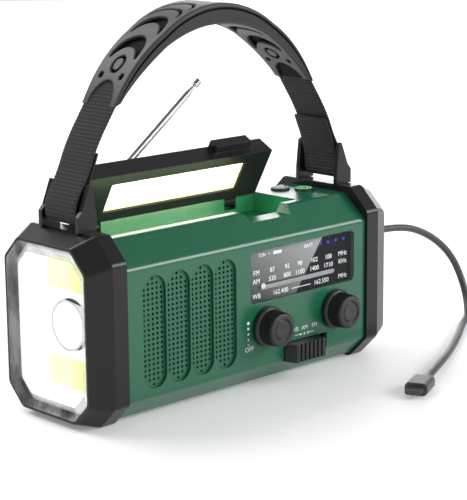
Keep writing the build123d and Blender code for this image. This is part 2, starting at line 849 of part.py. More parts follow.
def crank_fold_block():
    """The folding block at the arm's end, with the spindle that the knob turns on."""
    hub = rod((fold_x, fold_y, crank_z - 5.2), (fold_x, fold_y, crank_z + 5.2), 3.0)
    spindle = rod((fold_x, fold_y, crank_z), (fold_x + 23.9, fold_y, crank_z), spindle_radius)
    head = rod((fold_x + 22.8, fold_y, crank_z), (fold_x + 24.0, fold_y, crank_z), 2.6)
    hole = rod((fold_x, fold_y, crank_z - 8), (fold_x, fold_y, crank_z + 8), fold_pin_radius + 0.05)
    return hub + spindle + head - hole


def crank_fold_pin():
    """The pin that the folding block turns on."""
    return rod((fold_x, fold_y, crank_z - 7.4), (fold_x, fold_y, crank_z + 7.4), fold_pin_radius)


def crank_knob():
    """The crank's knob, folded: it turns on its spindle."""
    body = rod((fold_x + 3.6, fold_y, crank_z), (fold_x + 22.4, fold_y, crank_z), crank_knob_radius)
    body = fillet(body.edges(), 1.2)
    return body - rod((fold_x, fold_y, crank_z), (fold_x + 30, fold_y, crank_z), spindle_radius + 0.08)


# ---- inside the case ----


def dynamo():
    """The hand-crank generator behind the crank, with a socket for the crank's hub."""
    body = y_disc(0, crank_z, 14.0, 6.0, 27.0)
    return body + y_disc(0, crank_z, 5.0, 26.9, 28.4)


def battery_cells():
    """Two rechargeable cells lying along the case."""
    cells = []
    for y in (0.5, 20.5):
        cell = rod((5.5, y, 15.0), (69.5, y, 15.0), 9.1)
        cells.append(cell + rod((69.4, y, 15.0), (70.4, y, 15.0), 2.8))
    return Compound(children=cells)


def main_board():
    """The upright circuit board behind the dial, with a shielded tuner."""
    board = block(6.0, 68.0, -14.0, -12.4, 27.0, 74.0)
    return board + block(30.0, 44.0, -17.0, -13.9, 48.0, 62.0) + block(20.0, 27.0, -12.5, -10.0, 50.0, 57.0)


def case_screws():
    """The screws that join the case's halves, put in from the back."""
    screws = []
    for x, z in case_screw_places:
        head = y_disc(x, z, screw_head_radius, case_half_depth - 1.9, case_half_depth - 0.3)
        screws.append(head + y_disc(x, z, screw_radius, screw_tip_y, case_half_depth - 1.8))
    return Compound(children=screws)


# ---- charging cable ----


def usb_plug():
    """The cable's plug: a metal mouth in the socket, a moulded body and a tapered strain relief."""
    face = panel_x + 2.0
    y = socket_y
    z = socket_z
    mouth = block(face - 12, face + 1.0, y - 6.1, y + 6.1, z - 2.6, z + 2.6)
    mouth = mouth - block(face - 13, face - 1.0, y - 5.75, y + 5.75, z - 0.1, z + 2.3)
    body = block(face + 0.6, plug_end_x, y - 8.0, y + 8.0, z - 4.2, z + 4.2)
    body = fillet(body.edges().filter_by(Axis.X), 2.0)
    tail = Plane(origin=(plug_end_x, y, z), z_dir=(1, 0, 0))
    relief = Solid.make_cone(3.8, cable_radius + 0.4, relief_length, plane=tail)
    return mouth + body + relief


def phone_connector():
    """The connector on the cable's far end, lying on the surface, with its own strain relief."""
    end = Vector(*cable_points[-1])
    way = (end - Vector(*cable_points[-2])).normalized()
    way = Vector(way.X, way.Y, 0).normalized()
    place = Plane(origin=end, z_dir=way, x_dir=(0, 0, 1))
    relief = Solid.make_cone(cable_radius + 0.3, 2.9, 9.0, plane=place)
    body = place.offset(9.0) * extrude(RectangleRounded(6.4, 11.6, 2.4), amount=15.0)
    tongue = place.offset(23.9) * extrude(RectangleRounded(2.4, 8.2, 1.15), amount=6.6)
    return relief + body + tongue


def cable_radii():
    """Each bend's radius: 0.45 of its shorter run over the tangent of half the turn."""
    points = [Vector(*p) for p in cable_points]
    radii = []
    for before, here, after in zip(points, points[1:], points[2:]):
        run_in = here - before
        run_out = after - here
        turn = run_in.get_angle(run_out)
        radii.append(0.45 * min(run_in.length, run_out.length) / tan(radians(turn / 2)))
    return radii


def charging_cable():
    """The cable between the plug and the connector, along its route."""
    line = FilletPolyline(*cable_points, radius=cable_radii())
    section = Plane(origin=line @ 0, z_dir=line % 0) * Circle(cable_radius)
    tube = sweep(section, path=line)
    share = tube.volume / (section.area * line.length)
    print("cable length", round(line.length, 1), "volume share", round(share, 4))
    print("cable radii", [round(r, 1) for r in cable_radii()])
    return tube


def parts():
    """Every node's name and shape."""
    case = full_case()
    shapes = {
        "front_shell": front_shell(case),
        "rear_shell": rear_shell(case),
        "lamp_bezel": bezel(-1),
        "socket_bezel": bezel(1),
        "lamp_lens": lamp_lens(),
        "lamp_reflector": lamp_reflector(),
        "lamp_panels": lamp_panels(),
        "spot_cup": spot_cup(),
        "spot_lens": spot_lens(),
        "spot_board": spot_board(),
        "socket_panel": socket_panel(),
        "usb_a_socket": usb_a_socket(),
        "usb_c_socket": usb_c_socket(),
        "earphone_socket": jack_socket(),
        "socket_cover": socket_cover(),
        "speaker_grille": speaker_grille(),
        "speaker_driver": speaker_driver(),
        "dial_window": dial_window(),
        "dial_plate": dial_plate(),
        "dial_pointer": dial_pointer(),
        "volume_knob": knob(volume_x),
        "volume_shaft": knob_shaft(volume_x),
        "volume_control": volume_control(),
        "tuning_knob": knob(tuning_x),
        "tuning_shaft": knob_shaft(tuning_x),
        "tuning_capacitor": tuning_capacitor(),
        "band_slider": band_slider(),
        "band_switch": band_switch(),
        "power_button": button(button_places[0]),
        "lamp_button": button(button_places[1]),
        "button_board": button_board(),
        "main_board": main_board(),
        "battery_cells": battery_cells(),
        "dynamo": dynamo(),
        "case_screws": case_screws(),
        "lid_frame": opened(lid_frame()),
        "lid_diffuser": opened(lid_diffuser()),
        "lid_light_board": opened(lid_light_board()),
        "solar_panel": opened(solar_panel()),
        "lid_hinge_pins": hinge_pins(),
        "strap_loop_left": strap_loop(-1),
        "strap_loop_right": strap_loop(1),
        "webbing_left": webbing(-1),
        "webbing_right": webbing(1),
        "grip": grip(),
        "antenna_swivel": antenna_swivel(),
        "antenna_pin": antenna_pin(),
        "antenna_tip": antenna_tip(),
        "crank_arm": crank_arm(),
        "crank_screw": crank_screw(),
        "crank_fold_block": crank_fold_block(),
        "crank_fold_pin": crank_fold_pin(),
        "crank_knob": crank_knob(),
        "charging_cable": charging_cable(),
        "usb_plug": usb_plug(),
        "phone_connector": phone_connector(),
    }
    for number in range(len(section_radii)):
        shapes["antenna_tube_" + str(number + 1)] = antenna_section(number)
    return shapes


os.makedirs("parts", exist_ok=True)
for name, shape in parts().items():
    export_step(shape, "parts/" + name + ".step")
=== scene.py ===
import json
import math

import bpy
from mathutils import Matrix, Vector


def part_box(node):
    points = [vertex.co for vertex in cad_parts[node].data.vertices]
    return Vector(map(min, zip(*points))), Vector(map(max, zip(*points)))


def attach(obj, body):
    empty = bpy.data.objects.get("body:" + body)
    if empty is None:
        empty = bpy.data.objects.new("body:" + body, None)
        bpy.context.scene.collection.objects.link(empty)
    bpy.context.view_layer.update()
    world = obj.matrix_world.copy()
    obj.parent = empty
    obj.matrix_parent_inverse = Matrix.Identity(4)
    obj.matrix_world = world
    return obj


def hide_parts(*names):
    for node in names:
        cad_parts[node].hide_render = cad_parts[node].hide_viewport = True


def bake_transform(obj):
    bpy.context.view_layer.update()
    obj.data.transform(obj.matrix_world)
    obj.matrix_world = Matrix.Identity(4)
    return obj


# Looks for the emergency radio. Lengths are in millimetres, like the CAD source's, and MM turns them into
# Blender's metres. The camera, the lights, the cable's route and the strap's bend are in metres.

MM = 0.001
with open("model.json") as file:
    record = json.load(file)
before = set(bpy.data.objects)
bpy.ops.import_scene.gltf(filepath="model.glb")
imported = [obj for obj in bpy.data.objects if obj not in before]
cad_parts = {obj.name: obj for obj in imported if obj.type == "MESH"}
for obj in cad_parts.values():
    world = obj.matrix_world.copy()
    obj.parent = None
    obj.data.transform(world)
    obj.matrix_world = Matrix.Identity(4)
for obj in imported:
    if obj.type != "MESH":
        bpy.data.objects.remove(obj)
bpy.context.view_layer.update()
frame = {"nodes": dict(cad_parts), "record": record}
nodes = frame["nodes"]

FRONT = -35.0  # the case's front face, along Y
LID_OPEN = math.radians(61.5)
SPOT_Z = 45.0  # the round spot lamp's axis
SPOT_RING = 12.2  # radius where the spot lamp meets the reflector
SPOT_CLEAR = 13.5  # radius inside which the lens is always clear
LENS_FACE_X = -100.1  # the lens's window lies behind this plane, its frame in front of it


def new_object(name, data):
    """An object of its own in the scene."""
    made = bpy.data.objects.new(name, data)
    bpy.context.scene.collection.objects.link(made)
    return made


# ---- camera ----

CAMERA_PLACE = (-0.5752, -0.6251, 0.2575)
CAMERA_YAW = -43.19
CAMERA_DOWN = 13.1
CAMERA_ROLL = -0.6
LENS_LENGTH = 123.8
LENS_SHIFT = (0.024, 0.029)


def make_camera():
    """The photograph's view: from the front left, a little above, with a long lens."""
    data = bpy.data.cameras.new("camera")
    data.sensor_width = 36.0
    data.lens = LENS_LENGTH
    data.shift_x, data.shift_y = LENS_SHIFT
    camera = new_object("camera", data)
    camera.location = CAMERA_PLACE
    turn = Matrix.Rotation(math.radians(CAMERA_YAW), 4, "Z")
    tilt = Matrix.Rotation(math.radians(90.0 - CAMERA_DOWN), 4, "X")
    roll = Matrix.Rotation(math.radians(CAMERA_ROLL), 4, "Z")
    camera.rotation_euler = (turn @ tilt @ roll).to_euler()
    bpy.context.scene.camera = camera


# ---- materials ----


class Graph:
    """A material's node tree, with short ways to add nodes and link their sockets."""

    def __init__(self, name):
        self.material = bpy.data.materials.new(name)
        self.material.use_nodes = True
        self.tree = self.material.node_tree
        self.tree.nodes.clear()
        self.output = self.tree.nodes.new("ShaderNodeOutputMaterial")

    def add(self, kind, settings=None, inputs=None):
        node = self.tree.nodes.new("ShaderNode" + kind)
        for key, value in (settings or {}).items():
            setattr(node, key, value)
        for key, value in (inputs or {}).items():
            socket = node.inputs[key]
            if isinstance(value, bpy.types.NodeSocket):
                self.tree.links.new(value, socket)
            else:
                socket.default_value = value
        return node

    def math(self, operation, *values):
        node = self.add("Math", {"operation": operation}, dict(enumerate(values)))
        return node.outputs[0]

    def remap(self, value, low, high, to_low, to_high):
        keys = {"Value": value, "From Min": low, "From Max": high, "To Min": to_low, "To Max": to_high}
        return self.add("MapRange", None, keys).outputs[0]

    def mix(self, factor, first, second):
        node = self.add("Mix", {"data_type": "RGBA"})
        for index, value in ((0, factor), (6, first), (7, second)):
            if isinstance(value, bpy.types.NodeSocket):
                self.tree.links.new(value, node.inputs[index])
            else:
                node.inputs[index].default_value = value
        return node.outputs[2]

    def noise(self, size_mm, detail=3.0, vector=None):
        """Noise whose features are about size_mm across."""
        keys = {"Vector": vector or self.place(), "Scale": 1000.0 / size_mm, "Detail": detail}
        return self.add("TexNoise", None, keys).outputs[0]

    def place(self):
        return self.add("TexCoord").outputs["Object"]

    def split(self, vector=None):
        """The X, Y and Z of a vector, or of the place on the object."""
        return self.add("SeparateXYZ", None, {0: vector or self.place()}).outputs

    def attribute(self, name):
        return self.add("Attribute", {"attribute_name": name}).outputs["Fac"]

    def bump(self, height, distance_mm, strength, more=None):
        keys = {"Height": height, "Distance": distance_mm * MM, "Strength": strength, **(more or {})}
        return self.add("Bump", None, keys).outputs[0]

    def outer_fresnel(self):
        """How much a clear part shines, and 0 on its inner side, where light would be shut in."""
        outside = self.math("SUBTRACT", 1.0, self.add("NewGeometry").outputs["Backfacing"])
        return self.math("MULTIPLY", self.add("Fresnel", None, {"IOR": 1.45}).outputs[0], outside)

    def principled(self, keys):
        return self.add("BsdfPrincipled", None, keys).outputs[0]

    def finish(self, shader):
        self.tree.links.new(shader, self.output.inputs["Surface"])
        return self.material


def rgb(red, green, blue):
    return (red, green, blue, 1.0)


def scaled(color, factor):
    return rgb(*(min(1.0, part * factor) for part in color[:3]))


def edge_mask(graph, radius_mm):
    """A normal rounded at the edges, and a mask: 1 along convex and concave edges, 0 on flat surfaces."""
    soft = graph.add("Bevel", {"samples": 4}, {"Radius": radius_mm * MM})
    true = graph.add("NewGeometry").outputs["Normal"]
    dot = graph.add("VectorMath", {"operation": "DOT_PRODUCT"}, {0: soft.outputs[0], 1: true})
    return soft.outputs[0], graph.remap(dot.outputs["Value"], 0.8, 0.995, 1.0, 0.0)


def surface(name, color, rough, metallic=0.0, grain=0.5, depth=0.01, vary=0.1, edge=0.35, wear_and_highlight=0.25,
            specular=0.5, pattern=None):
    """Moulded or metal surface: grain in its bump, slow changes of tone and gloss, and edges lightened
    partly by wear and partly as a painted highlight.
    """
    graph = Graph(name)
    normal, edges = edge_mask(graph, edge)
    slow = graph.noise(18.0, 4.0)
    fine = graph.noise(grain, 2.0)
    if pattern:
        base = pattern(graph)
        edge_wear_highlight_color = rgb(0.5, 0.5, 0.5)
    else:
        base = graph.mix(slow, scaled(color, 1 - vary), scaled(color, 1 + vary))
        edge_wear_highlight_color = scaled(color, 1.0 + 6.0 * wear_and_highlight)
    # Lightened edges: partly wear, partly a painted highlight.
    edge_wear_and_highlight = graph.math("MULTIPLY", edges, graph.remap(graph.noise(3.0), 0.35, 0.7, 0.0, wear_and_highlight))
    gloss = graph.remap(slow, 0.3, 0.7, rough - 0.02, rough + 0.02)
    bump = graph.bump(fine, depth, 1.0, {"Normal": normal})
    keys = {"Base Color": graph.mix(edge_wear_and_highlight, base, edge_wear_highlight_color), "Roughness": gloss, "Metallic": metallic,
            "Specular IOR Level": specular, "Normal": bump}
    return graph.finish(graph.principled(keys))


def glowing(name, color, strength, pattern=None):
    """A glowing surface: an even glow with a faint pattern of its own; on the reflector and the dial print
    it is painted light.
    """
    graph = Graph(name)
    level = pattern(graph) if pattern else graph.remap(graph.noise(6.0), 0.3, 0.7, 0.94, 1.0)
    glow = graph.mix(level, scaled(color, 0.45), color)
    return lit(graph, glow, strength)


def lit(graph, glow, strength):
    """Finish a material that gives off its own color."""
    keys = {"Base Color": glow, "Roughness": 0.35, "Emission Color": glow, "Emission Strength": strength}
    return graph.finish(graph.principled(keys))


def spot_distance(graph):
    """Distance from the round spot lamp's axis, in metres."""
    place = graph.split()
    height = graph.math("SUBTRACT", place["Z"], SPOT_Z * MM)
    across = place["Y"]
    squared = graph.math("MULTIPLY_ADD", height, height, graph.math("MULTIPLY", across, across))
    return graph.math("SQRT", squared)


def spot_painted_shade_ring(graph):
    """A ring of painted shade where the round spot lamp meets the reflector."""
    off = graph.math("ABSOLUTE", graph.math("SUBTRACT", spot_distance(graph), SPOT_RING * MM))
    ring = graph.remap(off, 0.4 * MM, 1.6 * MM, 0.0, 1.0)
    return graph.math("MULTIPLY", ring, graph.remap(graph.noise(6.0), 0.3, 0.7, 0.9, 1.0))


def lamp_material():
    """A lit panel: rows of small chips under a yellow phosphor skin, deeper yellow towards one edge."""
    graph = Graph("lamp_yellow")
    chip_pitch = 2.2
    keys = {"Vector": graph.place(), "Scale": 1000.0 / chip_pitch, "Randomness": 0.0}
    cells = graph.add("TexVoronoi", {"feature": "F1"}, keys)
    chips = graph.remap(cells.outputs["Distance"], 0.2, 0.6, 0.0, 0.35)
    yellower = graph.remap(graph.split()["Y"], -11.0 * MM, 2.0 * MM, 0.75, 0.0)
    glow = graph.mix(graph.math("ADD", yellower, chips), rgb(1.0, 1.0, 0.66), rgb(0.84, 0.92, 0.16))
    return lit(graph, glow, 0.4)


def diffuser_material():
    """The lid lamp's diffuser: white in the middle, warmer and dimmer towards its borders."""
    graph = Graph("diffuser_white")
    share = graph.split(graph.add("TexCoord").outputs["Generated"])
    along = graph.remap(graph.math("PINGPONG", share["X"], 0.5), 0.0, 0.05, 0.0, 1.0)
    across = graph.remap(graph.math("PINGPONG", share["Z"], 0.5), 0.02, 0.2, 0.0, 1.0)
    middle = graph.math("MULTIPLY", along, across)
    glow = graph.mix(middle, rgb(0.62, 0.66, 0.3), rgb(1.0, 1.0, 0.9))
    return lit(graph, glow, graph.remap(middle, 0.0, 1.0, 0.8, 4.0))


def clear_cover(name, tint):
    """A clear cover: see-through, with the gloss that its angle gives."""
    graph = Graph(name)
    scuff = graph.remap(graph.noise(9.0), 0.3, 0.7, 0.03, 0.07)
    shine = graph.add("BsdfGlossy", None, {"Color": rgb(1, 1, 1), "Roughness": scuff})
    through = graph.add("BsdfTransparent", None, {"Color": tint})
    amount = graph.math("MULTIPLY", graph.outer_fresnel(), 0.35)
    both = graph.add("MixShader", None, {0: amount, 1: through.outputs[0], 2: shine.outputs[0]})
    return graph.finish(both.outputs[0])


def lens_material():
    """The lamp's lens: a clear flat window, and a smoky frame where its face slopes, with streaks of painted
    reflection.
    """
    graph = Graph("lens_clear")
    facing = graph.add("NewGeometry").outputs["True Normal"]
    slope = graph.math("ABSOLUTE", graph.split(facing)["X"])
    proud = graph.math("LESS_THAN", graph.split()["X"], LENS_FACE_X * MM)
    away_from_spot = graph.math("GREATER_THAN", spot_distance(graph), SPOT_CLEAR * MM)
    frame_part = graph.math("MAXIMUM", proud, graph.math("LESS_THAN", slope, 0.98))
    frame_part = graph.math("MULTIPLY", frame_part, away_from_spot)
    shine = graph.add("BsdfGlossy", None, {"Color": rgb(1, 1, 1), "Roughness": 0.05}).outputs[0]
    clear = graph.add("BsdfTransparent", None, {"Color": rgb(0.97, 0.98, 0.99)}).outputs[0]
    window = graph.add("MixShader", None, {0: graph.outer_fresnel(), 1: clear, 2: shine}).outputs[0]
    # Streaks of painted reflection on the frame.
    upright = graph.add("Mapping", None, {0: graph.place(), "Scale": (1.0, 1.0, 0.35)}).outputs[0]
    painted_reflection_streaks = graph.remap(graph.noise(9.0, 4.0, upright), 0.38, 0.62, 0.0, 1.0)
    shade = graph.mix(painted_reflection_streaks, rgb(0.05, 0.05, 0.053), rgb(0.36, 0.36, 0.37))
    keys = {"Base Color": shade, "Roughness": 0.14, "Coat Weight": 0.6, "Coat Roughness": 0.05}
    smoky = graph.add("MixShader", None, {0: 0.68, 1: clear, 2: graph.principled(keys)}).outputs[0]
    return graph.finish(graph.add("MixShader", None, {0: frame_part, 1: window, 2: smoky}).outputs[0])


def dial_black_and_painted_reflection(graph):
    """The dial print: a painted reflection, a silver-grey field left of a slanting line, and black to its
    right.
    """
    place = graph.split()
    slant = graph.math("MULTIPLY_ADD", place["Z"], -0.75, place["X"])
    side = graph.remap(slant, 0.0, 0.3 * MM, 0.0, 1.0)
    rise = graph.math("MULTIPLY_ADD", place["Z"], 1.6, place["X"])
    fade = graph.remap(rise, 75.0 * MM, 165.0 * MM, 0.0, 1.0)
    # A painted reflection: silver-grey, darker towards the lower left.
    painted_reflection_field = graph.mix(fade, rgb(0.05, 0.052, 0.05), rgb(0.42, 0.42, 0.42))
    return graph.mix(side, painted_reflection_field, rgb(0.004, 0.004, 0.008))


def webbing_material():
    """Woven webbing: ribs come from the mesh, and this adds the threads' bump and fuzz, with lighter thread
    crests as a painted highlight.
    """
    graph = Graph("webbing_black")
    coord = graph.add("UVMap", {"uv_map": "weave"}).outputs[0]
    keys = {"Vector": coord, "Scale": 1.0, "Distortion": 1.5, "Detail": 2.0, "Detail Scale": 2.0}
    crest_height_and_highlight = graph.add("TexWave", {"wave_type": "BANDS", "bands_direction": "X"}, keys).outputs["Fac"]
    fuzz = graph.noise(0.5, 4.0)
    # The thread crests are lighter: a painted highlight.
    shade = graph.mix(crest_height_and_highlight, rgb(0.005, 0.005, 0.0055), rgb(0.034, 0.034, 0.035))
    height = graph.math("MULTIPLY_ADD", fuzz, 0.6, crest_height_and_highlight)
    keys = {"Base Color": shade, "Roughness": 0.8, "Sheen Weight": 0.08, "Sheen Roughness": 0.4,
            "Normal": graph.bump(height, 0.15, 0.9)}
    return graph.finish(graph.principled(keys))


def grip_material():
    """Soft grey rubber with painted shade: black with little shine inside the sunk crescents and the wall
    groove, darker along the side walls.
    """
    graph = Graph("rubber_grey")
    sunk = graph.attribute("sunk")
    painted_wall_shade = graph.attribute("painted_wall_shade")
    slow = graph.noise(12.0, 4.0)
    fine = graph.noise(0.35, 3.0)
    top = graph.mix(slow, rgb(0.045, 0.045, 0.047), rgb(0.075, 0.075, 0.078))
    # Painted shade: darker on the side walls, and black with little shine in the sunk parts.
    base = graph.mix(painted_wall_shade, top, rgb(0.012, 0.012, 0.013))
    base = graph.mix(graph.remap(sunk, 0.15, 0.6, 0.0, 1.0), base, rgb(0.004, 0.004, 0.004))
    shine = graph.remap(sunk, 0.1, 0.6, 0.35, 0.02)
    gloss = graph.remap(fine, 0.3, 0.7, 0.42, 0.56)
    keys = {"Base Color": base, "Roughness": gloss, "Sheen Weight": 0.08, "Specular IOR Level": shine,
            "Normal": graph.bump(fine, 0.03, 0.7)}
    return graph.finish(graph.principled(keys))


def solar_material():
    """Dark cells with fine silver lines, under glass."""
    graph = Graph("solar_glass")
    turned = graph.add("Mapping", None, {0: graph.place(), "Rotation": (LID_OPEN, 0.0, 0.0)})
    place = graph.split(turned.outputs[0])
    lines = 0.0
    for axis, pitch, width in (("X", 19.3, 0.5), ("X", 1.9, 0.12), ("Y", 10.9, 0.5)):
        away = graph.math("PINGPONG", graph.math("ADD", place[axis], 0.5), pitch * MM / 2)
        line = graph.math("LESS_THAN", away, width * MM / 2)
        lines = graph.math("MAXIMUM", lines, line)
    cells = graph.mix(graph.noise(7.0, 5.0), rgb(0.006, 0.009, 0.03), rgb(0.014, 0.02, 0.06))
    base = graph.mix(lines, cells, rgb(0.35, 0.36, 0.38))
    keys = {"Base Color": base, "Roughness": 0.25, "Coat Weight": 1.0, "Coat Roughness": 0.04}
    return graph.finish(graph.principled(keys))


def brushed(name, color, rough):
    """Turned or drawn metal with fine lines."""
    graph = Graph(name)
    stretched = graph.add("Mapping", None, {0: graph.place(), "Scale": (0.06, 1.0, 1.0)})
    lines = graph.noise(0.4, 3.0, stretched.outputs[0])
    gloss = graph.remap(lines, 0.3, 0.7, rough * 0.8, rough * 1.25)
    base = graph.mix(graph.noise(8.0), scaled(color, 0.9), scaled(color, 1.05))
    keys = {"Base Color": base, "Roughness": gloss, "Metallic": 1.0, "Normal": graph.bump(lines, 0.004, 0.6)}
    return graph.finish(graph.principled(keys))


GREEN = rgb(0.008, 0.105, 0.05)
PRINT_WHITE = rgb(0.82, 0.83, 0.83)


def make_materials():
    """One material for each of the record's slots, and a few for pieces of their own."""
    black = rgb(0.011, 0.011, 0.012)
    lid = rgb(0.009, 0.009, 0.01)
    return {
        # The wear setting lightens edges: partly wear, partly a painted highlight.
        "case_green": surface("case_green", GREEN, 0.27, grain=0.7, vary=0.05, wear_and_highlight=0.1),
        "grille_green": surface("grille_green", scaled(GREEN, 0.95), 0.4, grain=0.4, vary=0.08, edge=0.12),
        "bezel_black": surface("bezel_black", black, 0.27, grain=0.6, wear_and_highlight=0.4, specular=0.28),
        "lens_clear": lens_material(),
        # Painted light: the reflector glows in place of the lamp's light on it, with a ring of painted shade
        # round the spot lamp.
        "reflector_silver": glowing("reflector_silver", rgb(0.93, 0.94, 0.95), 0.72, spot_painted_shade_ring),
        "lamp_yellow": lamp_material(),
        "board_green": surface("board_green", rgb(0.01, 0.12, 0.04), 0.45),
        "plastic_black": surface("plastic_black", rgb(0.016, 0.016, 0.017), 0.5),
        "socket_steel": brushed("socket_steel", rgb(0.6, 0.6, 0.62), 0.3),
        "rubber_black": surface("rubber_black", rgb(0.014, 0.014, 0.014), 0.7, depth=0.02),
        "speaker_metal": surface("speaker_metal", rgb(0.03, 0.03, 0.032), 0.5, metallic=0.3),
        "window_clear": clear_cover("window_clear", rgb(0.95, 0.96, 0.96)),
        "dial_black": surface("dial_black", black, 0.5, pattern=dial_black_and_painted_reflection, wear_and_highlight=0.0, specular=0.05),
        "pointer_white": surface("pointer_white", PRINT_WHITE, 0.4),
        "knob_black": surface("knob_black", rgb(0.013, 0.012, 0.013), 0.36, depth=0.012, wear_and_highlight=0.5),
        "shaft_steel": brushed("shaft_steel", rgb(0.58, 0.58, 0.6), 0.28),
        "button_black": surface("button_black", rgb(0.03, 0.031, 0.032), 0.45),
        "cell_body": surface("cell_body", rgb(0.02, 0.09, 0.3), 0.35),
        "screw_steel": brushed("screw_steel", rgb(0.4, 0.4, 0.42), 0.32),
        "lid_black": surface("lid_black", lid, 0.3, grain=0.6, wear_and_highlight=0.6, specular=0.25),
        "diffuser_white": diffuser_material(),
        "solar_glass": solar_material(),
        "webbing_black": webbing_material(),
        "rubber_grey": grip_material(),
        "antenna_chrome": brushed("antenna_chrome", rgb(0.72, 0.73, 0.75), 0.1),
        "crank_black": surface("crank_black", rgb(0.014, 0.014, 0.015), 0.38, wear_and_highlight=0.3),
        "cable_grey": surface("cable_grey", rgb(0.035, 0.036, 0.039), 0.42, grain=0.6, depth=0.015),
        "plug_grey": surface("plug_grey", rgb(0.05, 0.051, 0.055), 0.4, grain=0.6, depth=0.015),
        "print_white": surface("print_white", PRINT_WHITE, 0.5, wear_and_highlight=0.0, vary=0.05),
        # The dial's print glows a little: painted light, as it is no lamp.
        "dial_print_painted_glow": glowing("dial_print_painted_glow", PRINT_WHITE, 0.4),
        "bar_grey": surface("bar_grey", rgb(0.34, 0.34, 0.36), 0.35, wear_and_highlight=0.0, vary=0.2),
        "led_blue": glowing("led_blue", rgb(0.02, 0.006, 0.5), 0.6),
        "icon_green": glowing("icon_green", rgb(0.2, 0.85, 0.25), 0.6),
        "thread_black": surface("thread_black", rgb(0.05, 0.05, 0.052), 0.7, wear_and_highlight=0.0),
    }


def paint_nodes(materials):
    """Give every CAD node the material of its slot."""
    for row in frame["record"]["subparts"]:
        node = nodes[row["node"]]
        node.data.materials.clear()
        node.data.materials.append(materials[row["material_slot"]])


# ---- mesh helpers ----


def add_piece(name, vertices, faces, material, body, sharp=35.0):
    """A new mesh piece from millimetre points, riding on a body where one is given."""
    mesh = bpy.data.meshes.new(name)
    mesh.from_pydata([Vector(v) * MM for v in vertices], [], faces)
    mesh.materials.append(material)
    mesh.validate()
    mesh.shade_smooth()
    mesh.set_sharp_from_angle(angle=math.radians(sharp))
    piece = new_object(name, mesh)
    if body:
        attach(piece, body)
    return piece


def add_attribute(piece, name, values):
    """One number for each point of the mesh, which a material reads by name."""
    attribute = piece.data.attributes.new(name, "FLOAT", "POINT")
    attribute.data.foreach_set("value", values)


def ring_faces(rings, size, closed_ends=True):
    """Quads between rings of equal size, and a cap at each end."""
    faces = []
    for i in range(rings - 1):
        for j in range(size):
            k = (j + 1) % size
            faces.append((i * size + j, i * size + k, (i + 1) * size + k, (i + 1) * size + j))
    if closed_ends:
        faces.append(tuple(reversed(range(size))))
        faces.append(tuple((rings - 1) * size + j for j in range(size)))
    return faces


def smooth_line(points, rounds=5):
    """Corner cutting: the quadratic spline that the points control, with its ends kept."""
    line = [Vector(p) for p in points]
    for _ in range(rounds):
        cut = [line[0]]
        for a, b in zip(line, line[1:]):
            cut.append(a * 0.75 + b * 0.25)
            cut.append(a * 0.25 + b * 0.75)
        cut.append(line[-1])
        line = cut
    return line


def resampled(line, count):
    """The same line with evenly spaced points, and its length."""
    reach = [0.0]
    for a, b in zip(line, line[1:]):
        reach.append(reach[-1] + (b - a).length)
    result = []
    i = 0
    for n in range(count):
        target = reach[-1] * n / (count - 1)
        while i < len(line) - 2 and reach[i + 1] < target:
            i += 1
        share = (target - reach[i]) / max(1e-9, reach[i + 1] - reach[i])
        result.append(line[i].lerp(line[i + 1], min(1.0, share)))
    return result, reach[-1]


def arc(a, b, c, count):
    """Points along the clockwise circle arc from a through b to c, in a plane."""
    (ax, ay), (bx, by), (cx, cy) = a, b, c
    d = 2 * (ax * (by - cy) + bx * (cy - ay) + cx * (ay - by))
    sa = ax * ax + ay * ay
    sb = bx * bx + by * by
    sc = cx * cx + cy * cy
    ux = (sa * (by - cy) + sb * (cy - ay) + sc * (ay - by)) / d
    uy = (sa * (cx - bx) + sb * (ax - cx) + sc * (bx - ax)) / d
    start = math.atan2(ay - uy, ax - ux)
    end = math.atan2(cy - uy, cx - ux)
    if end > start:
        end -= 2 * math.pi
    radius = math.hypot(ax - ux, ay - uy)
    angles = [start + (end - start) * i / count for i in range(count + 1)]
    return [Vector((ux + radius * math.cos(t), uy + radius * math.sin(t))) for t in angles]


def step(value, low, high):
    """0 below low, 1 above high, smooth between."""
    t = max(0.0, min(1.0, (value - low) / (high - low)))
    return t * t * (3 - 2 * t)


# ---- cable ----

CABLE_RADIUS = 2.0
CABLE_ROUTE = [
    (0.1300, 0.0020, 0.0570),
    (0.1520, 0.0020, 0.0570),
    (0.1730, -0.0010, 0.0500),
    (0.1885, -0.0060, 0.0365),
    (0.1945, -0.0115, 0.0180),
    (0.1860, -0.0225, 0.0035),
    (0.1680, -0.0320, 0.0022),
    (0.1470, -0.0460, 0.0022),
    (0.1220, -0.0610, 0.0022),
    (0.0970, -0.0750, 0.0034),
    (0.0740, -0.0860, 0.0034),
]


def make_cable(materials):
    """The charging cable on one smooth line from the plug's strain relief to the connector."""
    curve = bpy.data.curves.new("charging_cable_line", "CURVE")
    curve.dimensions = "3D"
    curve.bevel_depth = CABLE_RADIUS * MM
    curve.bevel_resolution = 8
    curve.resolution_u = 24
    curve.use_fill_caps = True
    spline = curve.splines.new("NURBS")
    spline.points.add(len(CABLE_ROUTE) - 1)
    for point, place in zip(spline.points, CABLE_ROUTE):
        point.co = (*place, 1.0)
    spline.order_u = 3
    spline.use_endpoint_u = True
    curve.materials.append(materials["cable_grey"])
    cable = new_object("charging_cable_line", curve)
    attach(cable, "case")
    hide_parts("charging_cable")


# ---- floor and light ----

FLOOR_HALF_SIDE = 15000.0
LIGHT_AIM = Vector((0.0, 0.0, 0.07))
# Name, place, width, height and power of each softbox.
LIGHTS = [
    ("front_light", (0.2, -1.9, 0.6), 1.2, 0.5, 8.0),
    ("edge_light", (1.35, -1.35, 1.0), 1.0, 0.75, 26.0),
    ("back_light", (-0.5, 1.3, 1.7), 1.6, 1.2, 34.0),
    ("back_panel", (1.7, 1.8, 0.55), 2.4, 0.9, 24.0),
]


